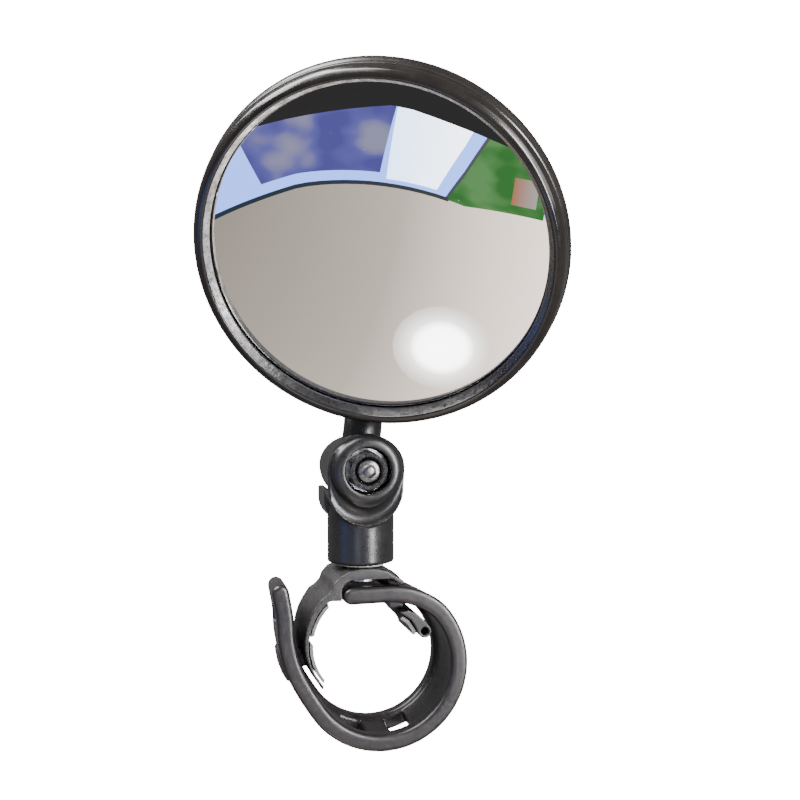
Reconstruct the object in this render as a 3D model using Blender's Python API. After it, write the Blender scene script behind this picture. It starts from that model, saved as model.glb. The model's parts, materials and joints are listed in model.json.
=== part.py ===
"""Round convex handlebar mirror on a ball joint, a bolted knuckle and a strap clamp.

The frame's origin is the middle of the handlebar's axis inside the clamp. The bar runs along Y,
+Z is up and +X is to the right of someone who looks along +Y at the mirror's glass.
Dimensions are in millimetres, and each mesh is built in metres.
"""
import math

import bmesh
import bpy
from mathutils import Matrix, Vector

MM = 0.001
GAP = 0.3                      # clearance between neighbouring pieces

# Clamp
BAR_RADIUS = 12.0              # bar surface that the grip pads touch
PAD_THICK = 0.7
EYE_CENTRE = (12.8, 2.4)       # curled eye at the right jaw's end, x and z
PAD_HALF = 7.8                 # half width along the bar
JAW_INNER = BAR_RADIUS + PAD_THICK + GAP
JAW_OUTER = 14.2
SADDLE_HALF = 8.4              # half width along the bar
CROWN_TOP = 16.2
CEILING = 14.4                 # underside of the crown, over the strap's end
LIP_THICK = 0.7                # raised lips at the crown's two ends, along the bar
STRAP_HALF = 8.85
STRAP_CONE = 0.5               # the loop is wider by this at the glass's end and narrower at the other
STRAP_THICK = 3.64
STRAP_CENTRE = (3.4, -4.8)     # centre of the loop that the strap makes, x and z
STRAP_RADIUS = 16.7            # middle of the strap's thickness
SLOT_LONG = 9.6                # strap slots, along the bar
SLOT_SHORT = 5.0               # strap slots, along the strap
SLOT_PITCH = 10.9
HOOK_AT = Vector((-15.9, -4.5))  # where the strap's middle crosses the hook, x and z

# Swivel and knuckle
BARREL_RADIUS = 7.35
BARREL_BOTTOM = CROWN_TOP + 1.0
PIVOT_Z = 38.2
EAR_HALF = 8.5                 # half width of the ear
EAR_TOP = 7.8                  # from the pivot to the ear's top
EAR_DROP = 12.3                # from the pivot to the ear's lower end
EAR_OUTER = 8.6
BOSS_OUTER = 9.3
BOSS_RADIUS = 7.4
EAR_INNER = 4.9
DISC_FRONT = 3.8               # the arm's disc, in front of the bolt's middle and behind it
DISC_REAR = 7.6
DISC_RADIUS = 8.1
DISC_TOP = 6.6                 # from the pivot to the disc's flattened top
SHOULDER_REAR = 8.0
LAP_DROP = 4.8                 # from the pivot down to the open shoulders of the lap
BOLT_RADIUS = 2.5
NUT_FLATS = 8.0
POCKET_RADIUS = 5.1
POCKET_FLOOR = 6.1
REAR_FLOOR = 5.0               # floor of the pocket for the bolt's head, in the arm's disc

# Head
HEAD_RADIUS = 39.4
LIP_CENTRE = Vector((-1.6, -24.25, 84.15))
HEAD_YAW = 22.4                # degrees that the glass is turned to the left
HEAD_PITCH = 21.0              # degrees that the glass looks down
LIP_HEIGHT = 22.0              # from the ball's centre to the bezel's front plane
BALL_RADIUS = 7.2
LINER_THICK = 0.5              # each of the two thin shells round the ball
LINER_INNER = BALL_RADIUS + GAP
LINER_OUTER = LINER_INNER + LINER_THICK + GAP
CAVITY_RADIUS = LINER_OUTER + LINER_THICK + GAP
MOUTH_ANGLE = 56.0             # half angle of the socket's open mouth
GLASS_RADIUS = 36.6
GLASS_CURVE = 180.0            # radius of the convex glass
GLASS_EDGE = 18.85             # height of the glass's front edge over the ball's centre
GLASS_THICK = 1.8
CAP_SCREW_RING = 11.6
CAP_SCREW_ANGLES = (84.0, 204.0, 324.0)


# ---------------------------------------------------------------- materials and frames

def clear_scene():
    """Remove every object that the file opened with."""
    for item in list(bpy.data.objects):
        bpy.data.objects.remove(item, do_unlink=True)


def make_material(name, colour, roughness, metallic=0.0):
    """A plain Principled material."""
    material = bpy.data.materials.new(name)
    material.use_nodes = True
    shader = material.node_tree.nodes["Principled BSDF"]
    shader.inputs["Base Color"].default_value = (*colour, 1.0)
    shader.inputs["Roughness"].default_value = roughness
    shader.inputs["Metallic"].default_value = metallic
    return material


def make_frame(name, place, turn=None):
    """An empty that stands on a joint; its pieces are modelled round it."""
    frame = bpy.data.objects.new(name, None)
    matrix = Matrix.Translation(Vector(place) * MM)
    if turn is not None:
        matrix = matrix @ turn
    frame.matrix_world = matrix
    bpy.context.collection.objects.link(frame)
    return frame


def head_turn():
    """Rotation that takes local +Z to the direction in which the glass looks."""
    yaw = math.radians(HEAD_YAW)
    pitch = math.radians(HEAD_PITCH)
    look = Vector((-math.sin(yaw) * math.cos(pitch), -math.cos(yaw) * math.cos(pitch), -math.sin(pitch)))
    right = Vector((math.cos(yaw), -math.sin(yaw), 0.0))
    rise = look.cross(right)
    return Matrix((right, rise, look)).transposed().to_4x4()


def ball_centre():
    """Centre of the ball joint in the part's frame."""
    look = head_turn().to_3x3() @ Vector((0.0, 0.0, 1.0))
    return LIP_CENTRE - look * LIP_HEIGHT


# ---------------------------------------------------------------- mesh helpers

def place_mesh(name, mesh_data, material, frame, crease=35.0):
    """Turn a bmesh in millimetres into a named object that hangs on a frame."""
    bmesh.ops.scale(mesh_data, vec=(MM, MM, MM), verts=mesh_data.verts)
    bmesh.ops.recalc_face_normals(mesh_data, faces=mesh_data.faces)
    mesh = bpy.data.meshes.new(name)
    mesh_data.to_mesh(mesh)
    mesh_data.free()
    mesh.shade_smooth()
    mesh.set_sharp_from_angle(angle=math.radians(crease))
    piece = bpy.data.objects.new(name, mesh)
    if material is not None:
        mesh.materials.append(material)
    piece.parent = frame
    bpy.context.collection.objects.link(piece)
    return piece


def as_cutter(piece):
    """Mark an object as a tool of another one's Boolean."""
    piece.hide_render = True
    piece.display_type = "WIRE"
    return piece


def boolean(target, cutter, operation):
    """Add one exact Boolean."""
    modifier = target.modifiers.new(cutter.name, "BOOLEAN")
    modifier.operation = operation
    modifier.object = as_cutter(cutter)


def lathe(profile, segments):
    """Turn a closed outline of (radius, height) points about Z."""
    data = bmesh.new()
    rings = []
    for radius, height in profile:
        if radius < 1e-6:
            rings.append([data.verts.new((0.0, 0.0, height))])
            continue
        ring = []
        for step in range(segments):
            angle = 2.0 * math.pi * step / segments
            ring.append(data.verts.new((radius * math.cos(angle), radius * math.sin(angle), height)))
        rings.append(ring)
    for index, ring in enumerate(rings):
        bridge(data, ring, rings[(index + 1) % len(rings)], segments)
    return data


def bridge(data, ring, following, segments):
    """Join two neighbouring rings of a turned shape; a pole is a ring of one vertex."""
    for step in range(segments):
        after = (step + 1) % segments
        if len(ring) > 1 and len(following) > 1:
            data.faces.new((ring[step], ring[after], following[after], following[step]))
        elif len(ring) > 1:
            data.faces.new((ring[step], ring[after], following[0]))
        elif len(following) > 1:
            data.faces.new((ring[0], following[after], following[step]))


def prism(outline, low, high):
    """Extrude a closed outline of (x, z) points along Y."""
    data = bmesh.new()
    face = data.faces.new([data.verts.new((x, low, z)) for x, z in outline])
    grown = bmesh.ops.extrude_face_region(data, geom=[face])
    moved = [item for item in grown["geom"] if isinstance(item, bmesh.types.BMVert)]
    bmesh.ops.translate(data, verts=moved, vec=(0.0, high - low, 0.0))
    return data


def cylinder(radius, low, high, segments, edge=0.0):
    """A round rod from low to high with flat ends, its rims cut back by edge."""
    sections = [(radius, low), (radius, high)]
    if edge > 0.0:
        sections = [(radius - edge, low), (radius, low + edge), (radius, high - edge), (radius - edge, high)]
    data = bmesh.new()
    rings = []
    for reach, height in sections:
        rings.append([data.verts.new((reach * math.cos(2.0 * math.pi * step / segments),
                                      reach * math.sin(2.0 * math.pi * step / segments), height))
                      for step in range(segments)])
    for ring, following in zip(rings, rings[1:]):
        bridge(data, ring, following, segments)
    data.faces.new(rings[0])
    data.faces.new(rings[-1])
    return data


def turned(data, axis):
    """Turn a shape made about Z so that it is about X or Y instead; its top goes to -Y or +X."""
    angle = math.radians(90.0)
    bmesh.ops.rotate(data, verts=data.verts, matrix=Matrix.Rotation(angle, 3, axis))
    return data


def arc(centre, radius, start, end, steps):
    """Points on a circle from one angle to another, in degrees."""
    points = []
    for step in range(steps + 1):
        angle = math.radians(start + (end - start) * step / steps)
        points.append((centre[0] + radius * math.cos(angle), centre[1] + radius * math.sin(angle)))
    return points


def smooth_line(points, steps):
    """Catmull-Rom curve through the given points."""
    padded = [points[0] * 2.0 - points[1]] + list(points) + [points[-1] * 2.0 - points[-2]]
    line = []
    for index in range(1, len(padded) - 2):
        before, start, end, after = padded[index - 1:index + 3]
        for step in range(steps):
            t = step / steps
            line.append(0.5 * (2.0 * start + (end - before) * t
                               + (2.0 * before - 5.0 * start + 4.0 * end - after) * t ** 2
                               + (3.0 * start - before - 3.0 * end + after) * t ** 3))
    line.append(points[-1].copy())
    return line


# ---------------------------------------------------------------- clamp

def saddle_outline():
    """Crown and left jaw, seen along the bar."""
    jaw_back = arc((0.3, 0.8), JAW_OUTER, 222.0, 146.0, 12)
    shoulder = [(-10.4, 10.3), (-9.0, 11.2), (-8.0, 12.3), (-7.5, 13.8), (-6.2, 15.2)]
    crown = [(-4.0, CROWN_TOP), (4.2, CROWN_TOP), (8.0, 13.8), (7.6, 12.9)]
    tunnel = [(5.4, CEILING), (-3.5, CEILING), (-4.9, 13.7), (-5.6, 12.6), (-5.7, 9.9)]
    jaw_face = arc((0.0, 0.0), JAW_INNER, 130.0, 222.0, 14)
    tip = [(-9.9, -9.3), (-10.3, -9.2)]
    return jaw_back + shoulder + crown + tunnel + jaw_face + tip


def lip_outline():
    """Low arched lip that stands on the crown in front of the barrel, and behind it."""
    foot = CEILING + 0.6
    return [(-6.2, foot), (5.6, foot), (5.6, 15.3), (3.6, 16.3), (1.3, 16.8), (-1.4, 16.75), (-4.0, 16.2),
            (-6.0, 15.3)]


def right_jaw_outline():
    """Right jaw and the curled eye at its end."""
    back = [(9.0, 7.2), (11.0, 6.4), (12.8, 4.8), (13.7, 3.6)]
    eye = arc(EYE_CENTRE, 1.5, 40.0, -160.0, 8)
    face = [(11.3, 1.9), (10.85, 3.2), (9.7, 5.0), (8.0, 6.2), (6.9, 6.9)]
    return face[::-1] + eye[::-1] + back[::-1]


def hook_outline():
    """Peg and head that the strap's slot hangs on, seen along the bar."""
    root = Vector((-13.0, -3.5))
    out = Vector((-0.965, -0.262))
    along = Vector((-out.y, out.x))
    steps = [(0.0, -1.5), (4.3, -1.5), (4.3, -3.4), (4.8, -3.8), (5.3, -3.2), (5.6, 0.0),
             (5.3, 3.2), (4.8, 3.8), (4.3, 3.4), (4.3, 1.5), (0.0, 1.5)]
    return [tuple(root + out * reach + along * side) for reach, side in steps]


def build_saddle(material, frame):
    saddle = place_mesh("clamp_saddle", prism(saddle_outline(), -SADDLE_HALF, SADDLE_HALF), material, frame)
    extras = [
        ("cut_right_jaw", right_jaw_outline(), -8.0, 8.0),
        ("cut_web", [(5.0, 15.1), (5.6, 7.2), (9.0, 6.6), (7.8, 14.3)], -3.9, 3.9),
        ("cut_hook", hook_outline(), -3.4, 3.4),
        ("cut_front_lip", lip_outline(), -SADDLE_HALF - 0.05, -SADDLE_HALF + LIP_THICK),
        ("cut_rear_lip", lip_outline(), SADDLE_HALF - LIP_THICK, SADDLE_HALF + 0.05),
    ]
    for name, outline, low, high in extras:
        boolean(saddle, place_mesh(name, prism(outline, low, high), material, frame), "UNION")
    screw_hole = place_mesh("cut_swivel_hole", cylinder(2.0 + GAP, CEILING - 1.0, CROWN_TOP + 1.0, 24),
                            None, frame)
    boolean(saddle, screw_hole, "DIFFERENCE")
    eye = place_mesh("cut_eye", turned(cylinder(0.85, -12.0, 12.0, 16), "X"), None, frame)
    eye.location = Vector((EYE_CENTRE[0], 0.0, EYE_CENTRE[1])) * MM
    boolean(saddle, eye, "DIFFERENCE")
    return saddle


def pad_between(inner, outer, start, end):
    """Outline of a grip pad on a round jaw."""
    return arc((0.0, 0.0), outer, start, end, 8) + arc((0.0, 0.0), inner, end - 2.0, start + 2.0, 8)


def build_pads(material, frame):
    for name, start, end in (("grip_pad_upper", 133.0, 170.0), ("grip_pad_lower", 176.0, 220.0)):
        outline = pad_between(BAR_RADIUS, BAR_RADIUS + PAD_THICK, start, end)
        place_mesh(name, prism(outline, -PAD_HALF, PAD_HALF), material, frame)
    right = [(10.95, 1.9), (10.5, 3.0), (9.4, 4.7), (7.9, 5.85), (7.45, 5.3), (8.85, 4.2), (9.85, 2.75),
             (10.25, 1.6)]
    place_mesh("grip_pad_right", prism(right, -7.4, 7.4), material, frame)


def strap_line():
    """Middle of the strap's thickness, from its anchored end to its free tail."""
    lead = [Vector((-5.2 + STRAP_THICK / 2.0, 10.4)), Vector((2.0, 10.5)), Vector((6.2, 10.5)),
            Vector((9.4, 10.0)), Vector((12.5, 8.75))]
    turn = [Vector(point) for point in arc(STRAP_CENTRE, STRAP_RADIUS, 44.0, -144.0, 16)]
    tail = [Vector((-13.5, -9.4)), HOOK_AT, Vector((-17.2, 0.9)), Vector((-17.6, 6.6)), Vector((-18.5, 11.7))]
    return smooth_line(lead + turn + tail, 3)


def line_sides(line, half):
    """Two lines beside a centre line, half a thickness away from it."""
    left = []
    right = []
    for index, point in enumerate(line):
        along = line[min(index + 1, len(line) - 1)] - line[max(index - 1, 0)]
        side = Vector((-along.y, along.x)).normalized() * half
        left.append(point + side)
        right.append(point - side)
    return left, right


def round_end(centre, start, steps):
    """Half circle that closes an end, from start and turning anticlockwise."""
    points = []
    for step in range(1, steps):
        angle = math.pi * step / steps
        turn = Matrix.Rotation(angle, 2)
        points.append(centre + turn @ (start - centre))
    return points


def point_along(line, distance):
    """Point and direction at a distance along a line."""
    for start, end in zip(line, line[1:]):
        step = (end - start).length
        if distance <= step:
            return start + (end - start) * (distance / step), (end - start).normalized()
        distance -= step
    return line[-1], (line[-1] - line[-2]).normalized()


def strap_length_to(line, target):
    """Distance along a line to its point nearest to the target."""
    nearest = min(range(len(line)), key=lambda index: (line[index] - target).length)
    return sum((end - start).length for start, end in zip(line[:nearest], line[1:nearest + 1]))


def strap_outline(grown):
    """Closed outline of the strap seen along the bar, pushed outwards from the bar by grown."""
    line = strap_line()
    half = STRAP_THICK / 2.0
    left, right = line_sides(line, half)
    outline = left[::-1] + round_end(line[0], left[0], 6) + right + round_end(line[-1], right[-1], 6)
    if grown == 0.0:
        return [tuple(point) for point in outline]
    middle = Vector(STRAP_CENTRE)
    return [tuple(middle + (point - middle) * (1.0 + grown / STRAP_RADIUS)) for point in outline]


def loft(front, rear, low, high):
    """Solid between two outlines with matching points, one at each end along Y."""
    data = bmesh.new()
    front_ring = [data.verts.new((x, low, z)) for x, z in front]
    rear_ring = [data.verts.new((x, high, z)) for x, z in rear]
    bridge(data, front_ring, rear_ring, len(front))
    data.faces.new(front_ring)
    data.faces.new(rear_ring)
    return data


def build_strap(material, frame):
    line = strap_line()
    body = loft(strap_outline(STRAP_CONE), strap_outline(-STRAP_CONE), -STRAP_HALF, STRAP_HALF)
    strap = place_mesh("clamp_strap", body, material, frame)
    hook_at = strap_length_to(line, HOOK_AT)
    anchor_at = strap_length_to(line, Vector((6.8, 10.5))) - 0.4
    distances = [anchor_at] + [hook_at + SLOT_PITCH * step for step in (-3, -2, -1, 0, 1)]
    for index, distance in enumerate(distances):
        centre, along = point_along(line, distance)
        half = SLOT_SHORT / 2.0
        block = [(-half, -4.0), (half, -4.0), (half, 4.0), (-half, 4.0)]
        slot = place_mesh(f"cut_slot_{index}", prism(block, -SLOT_LONG / 2.0, SLOT_LONG / 2.0), None, frame)
        slot.location = Vector((centre.x, 0.0, centre.y)) * MM
        slot.rotation_euler = (0.0, -math.atan2(along.y, along.x), 0.0)
        boolean(strap, slot, "DIFFERENCE")
    centre, along = point_along(line, hook_at)
    seat = [(-4.4, 0.7), (4.4, 0.7), (4.4, 3.2), (-4.4, 3.2)]
    recess = place_mesh("cut_hook_recess", prism(seat, -3.9, 3.9), None, frame)
    recess.location = Vector((centre.x, 0.0, centre.y)) * MM
    recess.rotation_euler = (0.0, -math.atan2(along.y, along.x), 0.0)
    boolean(strap, recess, "DIFFERENCE")
    return strap


# ---------------------------------------------------------------- swivel and knuckle

def ear_outline():
    """The ear seen along the bolt, round the pivot: a round top and a longer, rounded lower end."""
    low_radius = 8.3
    low_centre = -(EAR_DROP - low_radius)
    top = [(x, z * EAR_TOP / EAR_HALF) for x, z in arc((0.0, 0.0), EAR_HALF, 0.0, 180.0, 24)]
    return top + arc((0.0, low_centre), low_radius, 182.0, 358.0, 22)


def shoulder_outline():
    """The block under the arm's disc, seen along the bolt: a fuller lower end than the ear's."""
    left = arc((-3.0, -7.2), 5.3, 180.0, 270.0, 7)
    right = arc((3.0, -7.2), 5.3, 270.0, 360.0, 7)
    return [(-8.3, 1.3)] + left + right + [(8.3, 1.3)]


def build_knuckle(material, frame):
    """Barrel and its front ear in one moulding, cut back behind the ear for the arm's disc."""
    bottom = BARREL_BOTTOM - PIVOT_Z
    knuckle = place_mesh("knuckle_barrel", prism(ear_outline(), -EAR_OUTER, 0.0), material, frame)
    shoulder = place_mesh("cut_shoulder", prism(shoulder_outline(), -1.3, SHOULDER_REAR), material, frame)
    barrel = place_mesh("cut_barrel", cylinder(BARREL_RADIUS, bottom, -5.0, 48, 0.5), material, frame)
    boss = place_mesh("cut_boss", turned(cylinder(BOSS_RADIUS, EAR_INNER + 1.0, BOSS_OUTER, 40, 0.5), "X"),
                      material, frame)
    for extra in (shoulder, barrel, boss):
        boolean(knuckle, extra, "UNION")
    open_lap = [(-12.0, -LAP_DROP), (12.0, -LAP_DROP), (12.0, 12.0), (-12.0, 12.0)]
    lap = place_mesh("cut_lap", prism(open_lap, -EAR_INNER, 12.0), None, frame)
    seat = place_mesh("cut_lap_seat", turned(cylinder(DISC_RADIUS + 0.4, -12.0, EAR_INNER, 40), "X"), None, frame)
    bolt_hole = place_mesh("cut_bolt_hole", turned(cylinder(BOLT_RADIUS + GAP, -12.0, 12.0, 24), "X"),
                           None, frame)
    front = place_mesh("cut_nut_pocket", turned(cylinder(POCKET_RADIUS, POCKET_FLOOR, 12.0, 32), "X"),
                       None, frame)
    bore = place_mesh("cut_swivel_bore", cylinder(2.0 + GAP, bottom - 1.0, bottom + 9.5, 24), None, frame)
    for cutter in (lap, seat, bolt_hole, front, bore):
        boolean(knuckle, cutter, "DIFFERENCE")
    return knuckle


def build_swivel(steel, nylon, frame):
    """Screw that holds the barrel down, and the ring that the barrel turns on."""
    head_low = CEILING - GAP - 1.3
    stem_top = BARREL_BOTTOM + 9.0
    profile = [(0.0, head_low), (3.4, head_low), (3.9, head_low + 0.4), (3.9, head_low + 1.3),
               (2.0, head_low + 1.3), (2.0, stem_top - 0.8), (1.3, stem_top), (0.0, stem_top)]
    place_mesh("swivel_screw", lathe(profile, 24), steel, frame)
    low = CROWN_TOP + GAP
    high = BARREL_BOTTOM - GAP
    ring = [(2.0 + GAP, low), (5.2, low), (5.6, low + 0.3), (5.6, high), (2.0 + GAP, high)]
    place_mesh("swivel_ring", lathe(ring, 40), nylon, frame)


def washer(inner, outer, low, high, segments):
    """A flat ring about the bolt; heights run towards -Y."""
    return turned(lathe([(inner, low), (outer, low), (outer, high), (inner, high)], segments), "X")


def hexagon_nut(low, high):
    """Hexagon with its corners up and down, bored for the bolt, with chamfered corners."""
    data = bmesh.new()
    corner = NUT_FLATS / math.sqrt(3.0)
    sides = 6
    rings = []
    for radius, height in ((corner, low), (corner, high - 0.35), (corner * 0.9, high)):
        rings.append([data.verts.new((radius * math.sin(2.0 * math.pi * step / sides),
                                      radius * math.cos(2.0 * math.pi * step / sides), height))
                      for step in range(sides)])
    for ring, following in zip(rings, rings[1:]):
        bridge(data, ring, following, sides)
    data.faces.new(rings[0])
    data.faces.new(rings[-1])
    return turned(data, "X")


def build_hinge_hardware(black_steel, steel, nylon, frame):
    hole = BOLT_RADIUS + GAP
    low = POCKET_FLOOR + GAP
    place_mesh("nut_washer", washer(hole, 4.7, low, low + 0.5, 28), steel, frame)
    nut_low = low + 0.5 + GAP
    nut = place_mesh("hinge_nut", hexagon_nut(nut_low, nut_low + 2.4), black_steel, frame)
    boolean(nut, place_mesh("cut_nut_bore", turned(cylinder(hole, 0.0, 14.0, 24), "X"), None, frame),
            "DIFFERENCE")
    tip = 10.4
    under = -(REAR_FLOOR + GAP + 0.5 + GAP)
    bolt = [(0.0, under - 2.6), (3.0, under - 2.6), (4.1, under - 1.7), (4.4, under), (BOLT_RADIUS, under),
            (BOLT_RADIUS, tip - 0.8), (2.2, tip - 0.4), (1.3, tip - 0.3), (1.0, tip), (0.0, tip)]
    screw = place_mesh("hinge_bolt", turned(lathe(bolt, 28), "X"), steel, frame)
    key = place_mesh("cut_key", turned(cylinder(1.5, under - 3.6, under - 1.1, 6), "X"), None, frame)
    boolean(screw, key, "DIFFERENCE")
    head_washer_high = -(REAR_FLOOR + GAP)
    place_mesh("head_washer", washer(hole, 4.7, head_washer_high - 0.5, head_washer_high, 28), steel, frame)
    place_mesh("tilt_washer", washer(hole, 6.6, DISC_FRONT + GAP, EAR_INNER - GAP, 32), nylon, frame)


# ---------------------------------------------------------------- arm

def arm_stations(ball):
    """Centre line points of the arm with the half width and half depth there, round the pivot."""
    yaw = math.radians(15.0)
    rise = math.radians(8.0)
    leg = Vector((math.sin(yaw) * math.cos(rise), math.cos(yaw) * math.cos(rise), math.sin(rise)))
    return [
        (Vector((0.3, 2.9, 3.0)), 4.3, 4.1),
        (Vector((1.2, 3.4, 8.8)), 4.3, 4.0),
        (Vector((1.8, 6.2, 13.2)), 4.3, 3.8),
        (Vector((2.4, 10.6, 18.5)), 4.2, 3.6),
        (Vector((3.5, 13.7, 25.8)), 4.1, 3.4),
        (Vector((5.6, 15.6, 35.0)), 4.0, 3.4),
        (ball + leg * 20.3 + Vector((-0.9, 0.4, -9.0)), 3.9, 3.5),
        (ball + leg * 18.0 + Vector((0.0, 0.0, -2.6)), 3.7, 3.6),
        (ball + leg * 13.3, 3.2, 3.2),
        (ball + leg * 8.6, 2.5, 2.5),
        (ball + leg * 5.0, 2.5, 2.5),
    ]


def swept_rod(stations, steps, sides):
    """Rod with an oval section along a smooth line."""
    centres = smooth_line([station[0] for station in stations], steps)
    sizes = smooth_line([Vector((station[1], station[2])) for station in stations], steps)
    data = bmesh.new()
    side = Vector((1.0, 0.0, 0.0))
    rings = []
    for index, centre in enumerate(centres):
        along = (centres[min(index + 1, len(centres) - 1)] - centres[max(index - 1, 0)]).normalized()
        side = (side - along * side.dot(along)).normalized()
        back = along.cross(side)
        ring = []
        for step in range(sides):
            angle = 2.0 * math.pi * step / sides
            offset = side * math.cos(angle) * sizes[index].x + back * math.sin(angle) * sizes[index].y
            ring.append(data.verts.new(centre + offset))
        rings.append(ring)
    for ring, following in zip(rings, rings[1:]):
        bridge(data, ring, following, sides)
    data.faces.new(rings[0])
    data.faces.new(rings[-1])
    return data


def disc_outline():
    """The arm's disc seen along the bolt: round below and flatter on top."""
    top = [(x, z * DISC_TOP / DISC_RADIUS) for x, z in arc((0.0, 0.0), DISC_RADIUS, 0.0, 180.0, 24)]
    return top + arc((0.0, 0.0), DISC_RADIUS, 187.5, 352.5, 22)


def build_arm(material, frame):
    """Disc on the bolt, curved stem and the ball, in one moulding."""
    ball = ball_centre() - Vector((0.0, 0.0, PIVOT_Z))
    arm = place_mesh("mirror_arm", swept_rod(arm_stations(ball), 3, 14), material, frame)
    disc = place_mesh("cut_disc", prism(disc_outline(), -DISC_FRONT, DISC_REAR), material, frame)
    sphere = bmesh.new()
    bmesh.ops.create_uvsphere(sphere, u_segments=24, v_segments=12, radius=BALL_RADIUS)
    bmesh.ops.translate(sphere, verts=sphere.verts, vec=ball)
    for extra in (disc, place_mesh("cut_ball", sphere, material, frame)):
        boolean(arm, extra, "UNION")
    hole = place_mesh("cut_arm_hole", turned(cylinder(BOLT_RADIUS + GAP, -9.0, 8.0, 24), "X"), None, frame)
    pocket = place_mesh("cut_head_pocket", turned(cylinder(POCKET_RADIUS, -9.0, -REAR_FLOOR, 32), "X"),
                        None, frame)
    for cutter in (hole, pocket):
        boolean(arm, cutter, "DIFFERENCE")
    return arm


# ---------------------------------------------------------------- head

def build_back_shell(material, frame):
    mouth = math.radians(MOUTH_ANGLE)
    outside = [(38.9, 16.8), (HEAD_RADIUS, 15.8), (HEAD_RADIUS, 14.5), (38.4, 12.0), (35.8, 9.4), (32.6, 7.6),
               (28.0, 6.0), (20.0, 4.1), (15.6, 3.2), (14.9, 1.6), (14.4, -0.5), (12.8, -3.2), (10.6, -4.9),
               (9.2, -5.5)]
    cavity = []
    steps = 4
    for step in range(steps + 1):
        angle = mouth + (math.pi / 2.0 - mouth) * step / steps
        cavity.append((CAVITY_RADIUS * math.sin(angle), -CAVITY_RADIUS * math.cos(angle)))
    inside = [(CAVITY_RADIUS, 6.8), (14.5, 6.8), (15.0, 5.2), (20.0, 6.1), (28.6, 8.2), (34.4, 11.4),
              (35.0, 14.6), (38.2, 14.6), (38.2, 16.8)]
    shell = place_mesh("back_shell", lathe(outside + cavity + inside, 60), material, frame)
    for index, angle in enumerate(CAP_SCREW_ANGLES):
        hole = place_mesh(f"cut_shell_screw_{index}", cylinder(1.0 + GAP, 1.4, 8.0, 12), None, frame)
        hole.location = ring_place(angle)
        boolean(shell, hole, "DIFFERENCE")
    return shell


def ring_place(angle):
    """Place of a cap screw in the head's frame, in metres."""
    turn = math.radians(angle)
    return Vector((math.cos(turn), math.sin(turn), 0.0)) * CAP_SCREW_RING * MM


def build_bezel(material, frame):
    profile = [(36.7, LIP_HEIGHT), (37.6, 21.8), (38.4, 21.2), (38.95, 20.1), (39.15, 18.6), (39.05, 17.1),
               (37.9, 17.1), (37.9, 15.0), (37.0, 15.0), (37.0, 19.4), (35.5, 19.4), (35.5, 20.0),
               (36.1, 21.6)]
    return place_mesh("front_bezel", lathe(profile, 64), material, frame)


def build_glass(material, frame):
    """Convex glass, its two faces concentric."""
    steps = 4
    front = []
    for step in range(steps + 1):
        radius = GLASS_RADIUS * step / steps
        front.append((radius, GLASS_EDGE + glass_height(radius)))
    back = [(radius, height - GLASS_THICK) for radius, height in reversed(front)]
    return place_mesh("mirror_glass", lathe(front + back, 64), material, frame)


def glass_height(radius):
    """Height of the glass's front over its edge at a distance from the middle."""
    rim = math.sqrt(GLASS_CURVE ** 2 - GLASS_RADIUS ** 2)
    return math.sqrt(GLASS_CURVE ** 2 - radius ** 2) - rim


def build_glass_ring(material, frame):
    profile = [(33.8, 14.9), (36.4, 14.9), (36.4, 16.7), (33.8, 16.7)]
    return place_mesh("glass_foam_ring", lathe(profile, 48), material, frame)


def liner_profile(radius, end):
    """Section of a ball liner, from the socket's mouth to an angle from the socket's back, in degrees."""
    steps = 6
    start = MOUTH_ANGLE + 2.0
    inner = []
    outer = []
    for step in range(steps + 1):
        angle = math.radians(start + (end - start) * step / steps)
        inner.append((radius * math.sin(angle), -radius * math.cos(angle)))
        outer.append(((radius + LINER_THICK) * math.sin(angle), -(radius + LINER_THICK) * math.cos(angle)))
    return outer + inner[::-1]


def build_socket(nylon, cap_material, rubber, steel, frame):
    """Two nested liners round the ball, the ring and the cap that press on them, and the cap's screws."""
    place_mesh("ball_liner_inner", lathe(liner_profile(LINER_INNER, 121.0), 28), nylon, frame)
    place_mesh("ball_liner_outer", lathe(liner_profile(LINER_OUTER, 138.0), 28), nylon, frame)
    ring = [(7.9 + 0.8 * math.cos(math.radians(angle)), 6.0 + 0.8 * math.sin(math.radians(angle)))
            for angle in range(0, 360, 60)]
    place_mesh("seat_ring", lathe(ring, 28), rubber, frame)
    cap_low = 7.1
    cap_high = 8.7
    cap = place_mesh("socket_cap", lathe([(2.5, cap_low), (14.2, cap_low), (14.2, cap_high - 0.4),
                                          (13.8, cap_high), (2.5, cap_high)], 32), cap_material, frame)
    for index, angle in enumerate(CAP_SCREW_ANGLES):
        hole = place_mesh(f"cut_cap_screw_{index}", cylinder(1.0 + GAP, 6.0, 10.0, 12), None, frame)
        hole.location = ring_place(angle)
        boolean(cap, hole, "DIFFERENCE")
        head_low = cap_high + GAP
        profile = [(0.0, 1.8), (1.0, 1.8), (1.0, head_low), (1.9, head_low), (1.9, head_low + 0.7),
                   (1.2, head_low + 1.2), (0.0, head_low + 1.2)]
        screw = place_mesh(f"cap_screw_{index + 1}", lathe(profile, 16), steel, frame)
        screw.location = ring_place(angle)


# ---------------------------------------------------------------- assembly

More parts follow.
